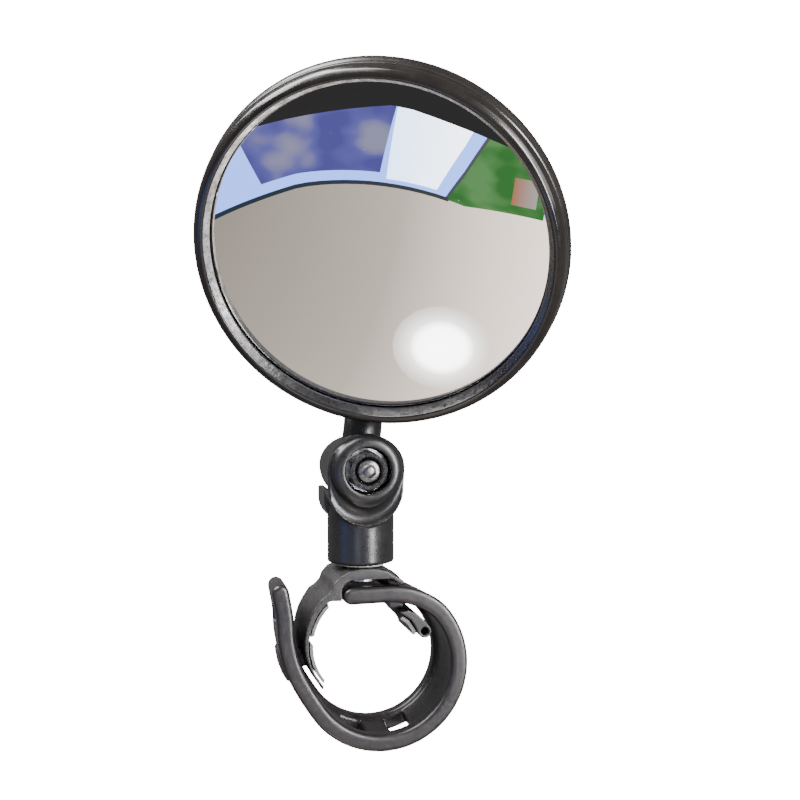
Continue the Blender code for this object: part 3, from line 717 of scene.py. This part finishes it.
def build_nut(material):
    """Hexagon nut with turned corners and a countersunk bore."""
    low = POCKET_FLOOR + GAP + WASHER_THICK + GAP
    high = low + 2.4
    corner = NUT_FLATS / math.sqrt(3.0)
    bore = BOLT_RADIUS + GAP
    angles = [math.radians(60.0 * step) for step in range(6)]
    hexagon = [(corner * math.sin(angle), corner * math.cos(angle)) for angle in angles]
    base = make_object("nut_base", prism(hexagon, -high, -low), TILT)
    cone = [(0.0, low - 0.1), (corner * 1.02, low - 0.1), (corner * 1.02, high - 0.55), (corner * 0.86, high),
            (0.0, high)]
    sink = [(0.0, low - 1.0), (bore, low - 1.0), (bore, high - 0.35), (bore + 0.5, high + 0.1),
            (0.0, high + 0.1)]
    tools = [("INTERSECT", make_object("tool_cone", turned(lathe(cone, 96)), TILT)),
             ("DIFFERENCE", make_object("tool_sink", turned(lathe(sink, 64)), TILT))]
    add_booleans(base, tools)
    mesh = applied(base)
    piece = bpy.data.objects.new("nut_body", mesh)
    bpy.context.scene.collection.objects.link(piece)
    mesh.shade_smooth()
    mesh.set_sharp_from_angle(angle=math.radians(25.0))
    remove_all(base, tools)
    bevel = piece.modifiers.new("bevel", "BEVEL")
    bevel.width = 0.08 * MM
    bevel.segments = 2
    return finish_piece(piece, material, "knuckle", "black_steel", "hinge_nut")


def build_bolt(material):
    """Bolt with thread crests near its end and a small domed tip."""
    tip = 10.4
    under = -(REAR_FLOOR + GAP + WASHER_THICK + GAP)
    pitch = 0.5
    profile = [(0.0, under - 1.1), (1.5, under - 1.1), (1.5, under - 2.6), (3.0, under - 2.6),
               (4.1, under - 1.9), (4.4, under - 1.2), (4.4, under), (BOLT_RADIUS, under)]
    height = 6.4
    profile.append((BOLT_RADIUS, height))
    while height < tip - 1.2:
        profile += [(BOLT_RADIUS - 0.26, height + pitch * 0.35), (BOLT_RADIUS, height + pitch * 0.85),
                    (BOLT_RADIUS, height + pitch)]
        height += pitch
    profile += [(2.35, tip - 0.6), (2.1, tip - 0.45), (1.45, tip - 0.42), (1.3, tip - 0.3), (1.05, tip - 0.1),
                (0.6, tip - 0.01), (0.0, tip)]
    piece = make_object("bolt_body", turned(lathe(profile, 96)), TILT, 30.0)
    return finish_piece(piece, material, "knuckle", "steel", "hinge_bolt")


# ---------------------------------------------------------------- clamp

def saddle_outline():
    jaw_back = arc((0.3, 0.8), JAW_OUTER, 222.0, 146.0, 40)
    shoulder = [(-10.4, 10.3), (-9.0, 11.2), (-8.0, 12.3), (-7.5, 13.8), (-6.2, 15.2)]
    crown = [(-4.0, CROWN_TOP), (4.2, CROWN_TOP), (8.0, 13.8), (7.6, 12.9)]
    tunnel = [(5.4, CEILING), (-3.5, CEILING), (-4.9, 13.7), (-5.6, 12.6), (-5.7, 9.9)]
    jaw_face = arc((0.0, 0.0), JAW_INNER, 130.0, 222.0, 40)
    tip = [(-9.9, -9.3), (-10.3, -9.2)]
    return jaw_back + shoulder + crown + tunnel + jaw_face + tip


def lip_outline():
    foot = CEILING + 0.6
    return [(-6.2, foot), (5.6, foot), (5.6, 15.3), (3.6, 16.3), (1.3, 16.8), (-1.4, 16.75), (-4.0, 16.2),
            (-6.0, 15.3)]


def right_jaw_outline():
    back = [(9.0, 7.2), (11.0, 6.4), (12.8, 4.8), (13.7, 3.6)]
    eye = arc(EYE_CENTRE, 1.5, 40.0, -160.0, 16)
    face = [(11.3, 1.9), (10.85, 3.2), (9.7, 5.0), (8.0, 6.2), (6.9, 6.9)]
    return face[::-1] + eye[::-1] + back[::-1]


def hook_outline():
    root = Vector((-13.0, -3.5))
    out = Vector((-0.965, -0.262))
    along = Vector((-out.y, out.x))
    steps = [(0.0, -1.5), (4.3, -1.5), (4.3, -3.4), (4.8, -3.8), (5.3, -3.2), (5.6, 0.0),
             (5.3, 3.2), (4.8, 3.8), (4.3, 3.4), (4.3, 1.5), (0.0, 1.5)]
    return [tuple(root + out * reach + along * side) for reach, side in steps]


def build_saddle(material):
    """Crown with a tunnel for the strap's end, a jaw on each side and a hook at the back of the left jaw."""
    base = make_object("saddle_base", prism(saddle_outline(), -SADDLE_HALF, SADDLE_HALF))
    eye = turned(cylinder(0.85, -REACH, REACH, 32))
    bmesh.ops.translate(eye, verts=eye.verts, vec=(EYE_CENTRE[0], 0.0, EYE_CENTRE[1]))
    hole = cylinder(SCREW_CLEAR, CEILING - 1.0, CROWN_TOP + 1.0, 48)
    web = [(5.0, 15.1), (5.6, 7.2), (9.0, 6.6), (7.8, 14.3)]
    lip_near = SADDLE_HALF - LIP_THICK
    lip_far = SADDLE_HALF + 0.05
    tools = [
        ("UNION", make_object("tool_jaw", prism(right_jaw_outline(), -8.0, 8.0))),
        ("UNION", make_object("tool_web", prism(web, -3.9, 3.9))),
        ("UNION", make_object("tool_hook", prism(hook_outline(), -3.4, 3.4))),
        ("UNION", make_object("tool_lip_front", prism(lip_outline(), -lip_far, -lip_near))),
        ("UNION", make_object("tool_lip_rear", prism(lip_outline(), lip_near, lip_far))),
        ("DIFFERENCE", make_object("tool_swivel_hole", hole)),
        ("DIFFERENCE", make_object("tool_eye", eye)),
    ]
    piece = fused("saddle_body", base, tools, 0.2, 4)
    return finish_piece(piece, material, "clamp", "saddle_plastic", "clamp_saddle")


def strap_line():
    """Middle of the strap's thickness, from its anchored end to its free tail."""
    lead = [Vector((-5.2 + STRAP_THICK / 2.0, 10.4)), Vector((2.0, 10.5)), Vector((6.2, 10.5)),
            Vector((9.4, 10.0)), Vector((12.5, 8.75))]
    loop = [Vector(point) for point in arc(STRAP_CENTRE, STRAP_RADIUS, 44.0, -144.0, 16)]
    tail = [Vector((-13.5, -9.4)), HOOK_AT, Vector((-17.2, 0.9)), Vector((-17.6, 6.6)), Vector((-18.5, 11.7))]
    return smooth_line(lead + loop + tail, 9)


def strap_outline(line, grown):
    """Outline of the strap seen along the bar, with round ends, pushed out from the loop's centre."""
    half = STRAP_THICK / 2.0
    turns = [Matrix.Rotation(math.pi * step / 14, 2) for step in range(1, 14)]
    left = []
    right = []
    for index, point in enumerate(line):
        along = line[min(index + 1, len(line) - 1)] - line[max(index - 1, 0)]
        side = Vector((-along.y, along.x)).normalized() * half
        left.append(point + side)
        right.append(point - side)
    caps = []
    for centre, start in ((line[0], left[0]), (line[-1], right[-1])):
        caps.append([centre + turn @ (start - centre) for turn in turns])
    outline = left[::-1] + caps[0] + right + caps[1]
    scale = 1.0 + grown / STRAP_RADIUS
    return [tuple(STRAP_CENTRE + (point - STRAP_CENTRE) * scale) for point in outline]


def point_along(line, distance):
    """Point and direction at a distance along a line."""
    for start, end in zip(line, line[1:]):
        step = (end - start).length
        if distance <= step:
            return start + (end - start) * (distance / step), (end - start).normalized()
        distance -= step
    return line[-1], (line[-1] - line[-2]).normalized()


def length_to(line, target):
    """Distance along a line to its point nearest to the target."""
    nearest = min(range(len(line)), key=lambda index: (line[index] - target).length)
    return sum((end - start).length for start, end in zip(line[:nearest], line[1:nearest + 1]))


def strap_body(line):
    """The band with its rims rounded; it is a little wider at its front end than at its rear."""
    edge = 0.9
    sections = []
    for y, depth in rounded_rims(-STRAP_HALF, STRAP_HALF, edge, 5):
        grown = -STRAP_CONE * y / STRAP_HALF
        sections.append((y, inset(strap_outline(line, grown), depth)))
    return sections_solid(sections)


def carve_channel(line):
    """A function that sinks a shallow channel into the strap's inner face."""
    nodes = np.array([tuple(point) for point in line])
    tangents = np.gradient(nodes, axis=0)
    tangents /= np.linalg.norm(tangents, axis=1)[:, None]
    normals = np.stack([-tangents[:, 1], tangents[:, 0]], axis=1)
    first = 34
    last = len(nodes) - 22
    fade = 12.0
    skin = 0.9
    floor_slope = 0.5
    wall_slope = 0.9
    batch = 4000

    def shape(places):
        flat = places[:, [0, 2]]
        result = places.copy()
        for start in range(0, len(flat), batch):
            block = flat[start:start + batch]
            gaps = ((block[:, None, :] - nodes[None, :, :]) ** 2).sum(axis=2)
            nearest = gaps.argmin(axis=1)
            side = ((block - nodes[nearest]) * normals[nearest]).sum(axis=1)
            depth = np.clip((-side - skin) / floor_slope, 0.0, 1.0)
            across = np.clip((CHANNEL_HALF - np.abs(places[start:start + batch, 1])) / wall_slope, 0.0, 1.0)
            ends = np.clip((nearest - first) / fade, 0.0, 1.0) * np.clip((last - nearest) / fade, 0.0, 1.0)
            move = CHANNEL_DEPTH * depth * across ** 2 * (3.0 - 2.0 * across) * ends
            result[start:start + batch, 0] += normals[nearest, 0] * move
            result[start:start + batch, 2] += normals[nearest, 1] * move
        return result

    return shape


def rectangle(half, low, high):
    """Corners of a rectangle that is centred across and runs from low to high."""
    return [(-half, low), (half, low), (half, high), (-half, high)]


def build_strap(material):
    """Band with adjusting slots along it; the hook's head lies in a recess round one of them."""
    through = 4.0
    line = strap_line()
    base = make_object("strap_base", strap_body(line))
    hook_at = length_to(line, HOOK_AT)
    anchor_at = length_to(line, Vector((6.8, 10.5))) - 0.4
    slots = [(anchor_at, False)]
    slots += [(hook_at + SLOT_PITCH * step, step == 0) for step in range(-3, 2)]
    tools = []
    for index, (distance, hooked) in enumerate(slots):
        centre, along = point_along(line, distance)
        turn = Matrix.Rotation(-math.atan2(along.y, along.x), 4, "Y")
        place = Matrix.Translation((centre.x, 0.0, centre.y)) @ turn
        slot = prism(rectangle(SLOT_SHORT / 2.0, -through, through), -SLOT_LONG / 2.0, SLOT_LONG / 2.0)
        tools.append(("DIFFERENCE", make_object(f"tool_slot_{index}", slot, place)))
        if hooked:
            recess = prism(rectangle(HOOK_CLEAR, 0.7, 3.2), -HOOK_WIDE, HOOK_WIDE)
            tools.append(("DIFFERENCE", make_object("tool_recess", recess, place)))
    piece = fused("strap_body", base, tools, 0.25, 5, carve_channel(line))
    return finish_piece(piece, material, "clamp", "strap_rubber", "clamp_strap")


# ---------------------------------------------------------------- CAD nodes that stay

def refine(node, material, bevel=0.12):
    """Keeps a CAD node, with softened edges and a procedural finish."""
    item = NODES[node]
    item.data.materials.clear()
    item.data.materials.append(material)
    edge = item.modifiers.new("soft_edges", "BEVEL")
    edge.width = bevel * MM
    edge.segments = 2
    edge.limit_method = "ANGLE"
    edge.angle_limit = math.radians(35.0)


# ---------------------------------------------------------------- stage

def horizon(azimuth):
    """Elevation of the reflected table's far edge, in degrees; it bows like an arch."""
    crest = -50.0
    corner = -14.0
    top = -23.8
    drop = 6.4
    if azimuth > corner:
        return top - drop - 0.1 * (azimuth - corner)
    if azimuth > crest:
        return top - drop * ((azimuth - crest) / (corner - crest)) ** 2
    return top + 0.1 * (azimuth - crest)


def ceiling_edge(azimuth):
    """Elevation where the dark area above the reflected room begins, in degrees."""
    away = azimuth + 27.0
    return -10.3 - (0.37 * away if away > 0.0 else 0.00175 * away ** 2)


def card_point(azimuth, rise, distance, base=horizon):
    """Point round the glass; rise counts from the base line, in degrees."""
    turn = math.radians(azimuth)
    tilt = math.radians(max(base(azimuth) + rise, -88.0))
    level = math.cos(tilt)
    return Vector((math.sin(turn) * level, -math.cos(turn) * level, math.sin(tilt))) * distance


def glass_centre():
    """Point on the glass's axis at the height of its rim."""
    return HEAD @ Vector((0.0, 0.0, GLASS_EDGE))


def reflection_card(name, low, high, distance, stops, base=horizon, axis="X"):
    """Card on a dome round the glass, seen only as a reflection.

    low and high are its lower and upper edges: (left azimuth, right azimuth, rise over the base line).
    """
    steps = 24
    data = bmesh.new()
    rows = []
    for row in range(steps + 1):
        share = row / steps
        left, right, rise = (start + (end - start) * share for start, end in zip(low, high))
        azimuths = [left + (right - left) * column / steps for column in range(steps + 1)]
        rows.append([data.verts.new(card_point(azimuth, rise, distance, base)) for azimuth in azimuths])
    for below, above in zip(rows, rows[1:]):
        for column in range(steps):
            data.faces.new((below[column], below[column + 1], above[column + 1], above[column]))
    card = make_object(name, data, Matrix.Translation(glass_centre()), 180.0)
    return hide_card(card, glow_material(name, stops, axis))


def hide_card(card, material):
    """Shows a card in reflections only."""
    card.data.materials.append(material)
    card.visible_camera = False
    card.visible_diffuse = False
    card.visible_shadow = False
    card.visible_transmission = False
    return card


def card_measure(tree, axis):
    """Value that a card's colour follows: along a side, out from the middle (ROUND) or in blots (BLOTS)."""
    coord = tree.nodes.new("ShaderNodeTexCoord").outputs["Generated"]
    if axis == "BLOTS":
        blots = tree.nodes.new("ShaderNodeTexNoise")
        blots.inputs["Scale"].default_value = 2.6
        blots.inputs["Detail"].default_value = 1.5
        tree.links.new(coord, blots.inputs["Vector"])
        return blots.outputs["Fac"]
    if axis == "ROUND":
        flat = tree.nodes.new("ShaderNodeVectorMath")
        flat.operation = "MULTIPLY"
        flat.inputs[1].default_value = (1.0, 1.0, 0.0)
        tree.links.new(coord, flat.inputs[0])
        away = tree.nodes.new("ShaderNodeVectorMath")
        away.operation = "DISTANCE"
        away.inputs[1].default_value = (0.5, 0.5, 0.0)
        tree.links.new(flat.outputs["Vector"], away.inputs[0])
        return away.outputs["Value"]
    split = tree.nodes.new("ShaderNodeSeparateXYZ")
    tree.links.new(coord, split.inputs["Vector"])
    return split.outputs[axis]


def faded(tree, value, surface):
    """Lets a round card's surface fade out towards its rim."""
    fade = tree.nodes.new("ShaderNodeMapRange")
    fade.inputs["From Min"].default_value = 0.24
    fade.inputs["From Max"].default_value = 0.5
    tree.links.new(value, fade.inputs["Value"])
    clear = tree.nodes.new("ShaderNodeBsdfTransparent")
    blend = tree.nodes.new("ShaderNodeMixShader")
    tree.links.new(fade.outputs["Result"], blend.inputs[0])
    tree.links.new(surface, blend.inputs[1])
    tree.links.new(clear.outputs["BSDF"], blend.inputs[2])
    return blend.outputs["Shader"]


def glow_material(name, stops, axis):
    """Emission whose colour follows card_measure; each stop is (position, colour)."""
    material = bpy.data.materials.new(name)
    material.use_nodes = True
    tree = material.node_tree
    tree.nodes.clear()
    value = card_measure(tree, axis)
    ramp = tree.nodes.new("ShaderNodeValToRGB")
    while len(ramp.color_ramp.elements) < len(stops):
        ramp.color_ramp.elements.new(0.5)
    peak = max(max(colour) for position, colour in stops)
    for element, (position, colour) in zip(ramp.color_ramp.elements, stops):
        element.position = position
        element.color = (*(channel / peak for channel in colour), 1.0)
    tree.links.new(value, ramp.inputs["Fac"])
    glow = tree.nodes.new("ShaderNodeEmission")
    glow.inputs["Strength"].default_value = peak
    tree.links.new(ramp.outputs["Color"], glow.inputs["Color"])
    surface = glow.outputs["Emission"]
    if axis == "ROUND":
        surface = faded(tree, value, surface)
    out = tree.nodes.new("ShaderNodeOutputMaterial")
    tree.links.new(surface, out.inputs["Surface"])
    return material


def lamp_card(name, azimuth, rise, radius, distance):
    """Round soft lamp, seen only as a reflection."""
    data = bmesh.new()
    bmesh.ops.create_circle(data, cap_ends=True, segments=64, radius=radius)
    centre = card_point(azimuth, rise, distance)
    turn = (-centre).to_track_quat("Z", "Y").to_matrix().to_4x4()
    card = make_object(name, data, crease=180.0)
    card.matrix_world = Matrix.Translation((glass_centre() + centre) * MM) @ turn
    stops = [(0.0, (9.0, 9.0, 9.0)), (0.17, (7.5, 7.5, 7.5)), (0.23, (3.0, 2.9, 2.8)),
             (0.34, (1.8, 1.65, 1.5)), (0.5, (1.3, 1.12, 0.97))]
    return hide_card(card, glow_material(name, stops, "ROUND"))


def soft_card(name, place, target, size, strength):
    """Rectangular softbox in metres, seen only as a highlight."""
    half = size[0] / 2.0
    tall = size[1] / 2.0
    data = bmesh.new()
    data.faces.new([data.verts.new((x, y, 0.0)) for x, y in rectangle(half, -tall, tall)])
    mesh = bpy.data.meshes.new(name)
    data.to_mesh(mesh)
    data.free()
    card = bpy.data.objects.new(name, mesh)
    bpy.context.scene.collection.objects.link(card)
    card.location = place
    card.rotation_euler = (Vector(target) - Vector(place)).to_track_quat("Z", "Y").to_euler()
    return hide_card(card, glow_material(name, [(0.0, (strength, strength, strength))], "X"))


def room_band(low, high):
    """Lower and upper edges of a card that spans the whole room."""
    return (ROOM_LEFT, ROOM_RIGHT, low), (ROOM_LEFT, ROOM_RIGHT, high)


def build_room():
    """What the glass reflects: a table, a pale wall with a blue and a green area, a window and a lamp."""
    reflection_card("card_table", *room_band(-62.0, 0.0), ROOM_FAR,
                    [(0.0, (0.40, 0.36, 0.31)), (0.45, (0.80, 0.71, 0.60)), (1.0, (2.6, 2.2, 1.95))])
    reflection_card("card_wall", *room_band(0.0, 24.0), ROOM_FAR,
                    [(0.0, (0.55, 1.0, 3.0)), (1.0, (0.75, 1.25, 3.6))])
    reflection_card("card_edge", (ROOM_LEFT, -17.6, -0.5), (ROOM_LEFT, -17.6, 0.3), ROOM_NEAR,
                    [(0.0, (0.03, 0.045, 0.07))])
    reflection_card("card_frame", (-18.6, -17.6, -0.5), (-9.4, -8.4, 14.0), ROOM_NEAR,
                    [(0.0, (0.08, 0.12, 0.14))])
    reflection_card("card_blue", (-58.0, -32.0, 2.2), (-63.0, -26.0, 20.0), ROOM_NEAR,
                    [(0.40, (0.105, 0.10, 0.40)), (0.50, (0.15, 0.15, 0.52)), (0.56, (0.26, 0.25, 0.52)),
                     (0.66, (0.34, 0.34, 0.52))], axis="BLOTS")
    reflection_card("card_window", (-30.8, -20.0, 1.1), (-25.6, -8.0, 22.0), ROOM_NEAR,
                    [(0.0, (2.7, 3.5, 5.2))])
    reflection_card("card_green", (-17.8, 4.0, -0.2), (-8.6, 4.0, 14.0), ROOM_NEAR - 1.0,
                    [(0.40, (0.05, 0.22, 0.05)), (0.60, (0.14, 0.36, 0.12))], axis="BLOTS")
    reflection_card("card_orange", (-3.6, 2.0, 1.6), (-3.2, 2.0, 7.0), ROOM_NEAR - 2.0,
                    [(0.0, (0.55, 0.22, 0.11))])
    reflection_card("card_ceiling", (-88.0, 14.0, 0.0), (-88.0, 14.0, 14.0), ROOM_NEAR - 4.0,
                    [(0.0, (0.035, 0.032, 0.034))], ceiling_edge)
    lamp_azimuth = -20.8
    lamp_card("card_lamp", lamp_azimuth, -60.0 - horizon(lamp_azimuth), 72.0, ROOM_NEAR)


def build_softboxes():
    """Highlights on the bezel's upper left and on the knuckle's right side."""
    soft_card("card_left", (-0.42, 0.02, 0.60), (0.0, 0.0, 0.10), (0.42, 0.5), 34.0)
    soft_card("card_right", (0.50, -0.50, 0.30), (0.0, 0.0, 0.05), (0.35, 0.6), 6.0)


def area_light(name, place, target, size, power):
    """White rectangular lamp, with lengths in metres."""
    data = bpy.data.lights.new(name, "AREA")
    data.shape = "RECTANGLE"
    data.size = size[0]
    data.size_y = size[1]
    data.energy = power
    data.color = WHITE
    lamp = bpy.data.objects.new(name, data)
    lamp.location = place
    lamp.rotation_euler = (Vector(target) - Vector(place)).to_track_quat("-Z", "Y").to_euler()
    bpy.context.scene.collection.objects.link(lamp)
    return lamp


def build_floor():
    """Pale floor that curves up into a backdrop; it glows towards the camera and lights nothing."""
    floor_height = -250.0
    near_end = -2500.0
    bend_start = 1500.0
    bend = 700.0
    half_wide = 3500.0
    profile = [(near_end, floor_height), (bend_start, floor_height)]
    for step in range(1, 10):
        angle = math.radians(10.0 * step)
        profile.append((bend_start + bend * math.sin(angle), floor_height + bend * (1.0 - math.cos(angle))))
    profile.append((bend_start + bend, 3500.0))
    data = bmesh.new()
    rows = [[data.verts.new((x, y, z)) for x in (-half_wide, half_wide)] for y, z in profile]
    for low, high in zip(rows, rows[1:]):
        data.faces.new((low[0], low[1], high[1], high[0]))
    floor = make_object("floor", data, crease=180.0)
    made = Finish("floor_white", 0.6)
    made.colour(made.noise(2.0, 2.0), (0.90, 0.90, 0.90), (0.93, 0.93, 0.93))
    made.shader.inputs["Emission Color"].default_value = (*WHITE, 1.0)
    made.shader.inputs["Emission Strength"].default_value = 16.0
    floor.data.materials.append(made.material)
    floor.visible_diffuse = False
    floor.visible_glossy = False


def build_camera():
    """Camera in front and a little to the left, looking slightly down."""
    place = Vector((-69.0, -351.6, 78.0))
    forward = Vector((0.2159, 0.9739, -0.0698))
    data = bpy.data.cameras.new("camera")
    data.sensor_width = 36.0
    data.lens = 73.35
    data.clip_start = 0.01
    camera = bpy.data.objects.new("camera", data)
    camera.location = place * MM
    camera.rotation_euler = forward.to_track_quat("-Z", "Y").to_euler()
    bpy.context.scene.collection.objects.link(camera)
    bpy.context.scene.camera = camera


def build_light():
    """White surroundings and three soft lamps."""
    world = bpy.data.worlds.new("world")
    bpy.context.scene.world = world
    world.use_nodes = True
    back = world.node_tree.nodes["Background"]
    back.inputs["Color"].default_value = (*WHITE, 1.0)
    back.inputs["Strength"].default_value = 0.25
    area_light("key", (-0.30, -0.25, 0.75), (0.0, 0.0, 0.06), (0.3, 0.3), 6.0)
    area_light("rim", (-0.50, 0.12, 0.75), (0.0, 0.0, 0.08), (0.35, 0.3), 12.0)
    area_light("side", (0.37, -0.64, 0.10), (0.0, 0.0, 0.04), (0.14, 0.5), 13.0)


def main():
    housing = housing_finish()
    steel = steel_finish()
    nylon = nylon_finish()
    rubber = rubber_finish()
    knuckle = knuckle_finish()
    build_camera()
    build_bezel(bezel_finish(), chamfer_finish())
    build_back_shell(housing)
    build_glass(glass_finish())
    build_knuckle(knuckle)
    build_arm(knuckle)
    build_nut(nut_finish())
    build_bolt(bolt_finish())
    build_saddle(saddle_finish())
    build_strap(strap_finish())
    refine("glass_foam_ring", foam_finish())
    refine("socket_cap", housing)
    for node in ("seat_ring", "grip_pad_upper", "grip_pad_lower", "grip_pad_right"):
        refine(node, rubber)
    for node in ("ball_liner_inner", "ball_liner_outer", "swivel_ring", "tilt_washer"):
        refine(node, nylon, 0.05)
    for node in ("cap_screw_1", "cap_screw_2", "cap_screw_3", "swivel_screw", "nut_washer", "head_washer"):
        refine(node, steel, 0.08)
    build_floor()
    build_room()
    build_softboxes()
    build_light()


main()
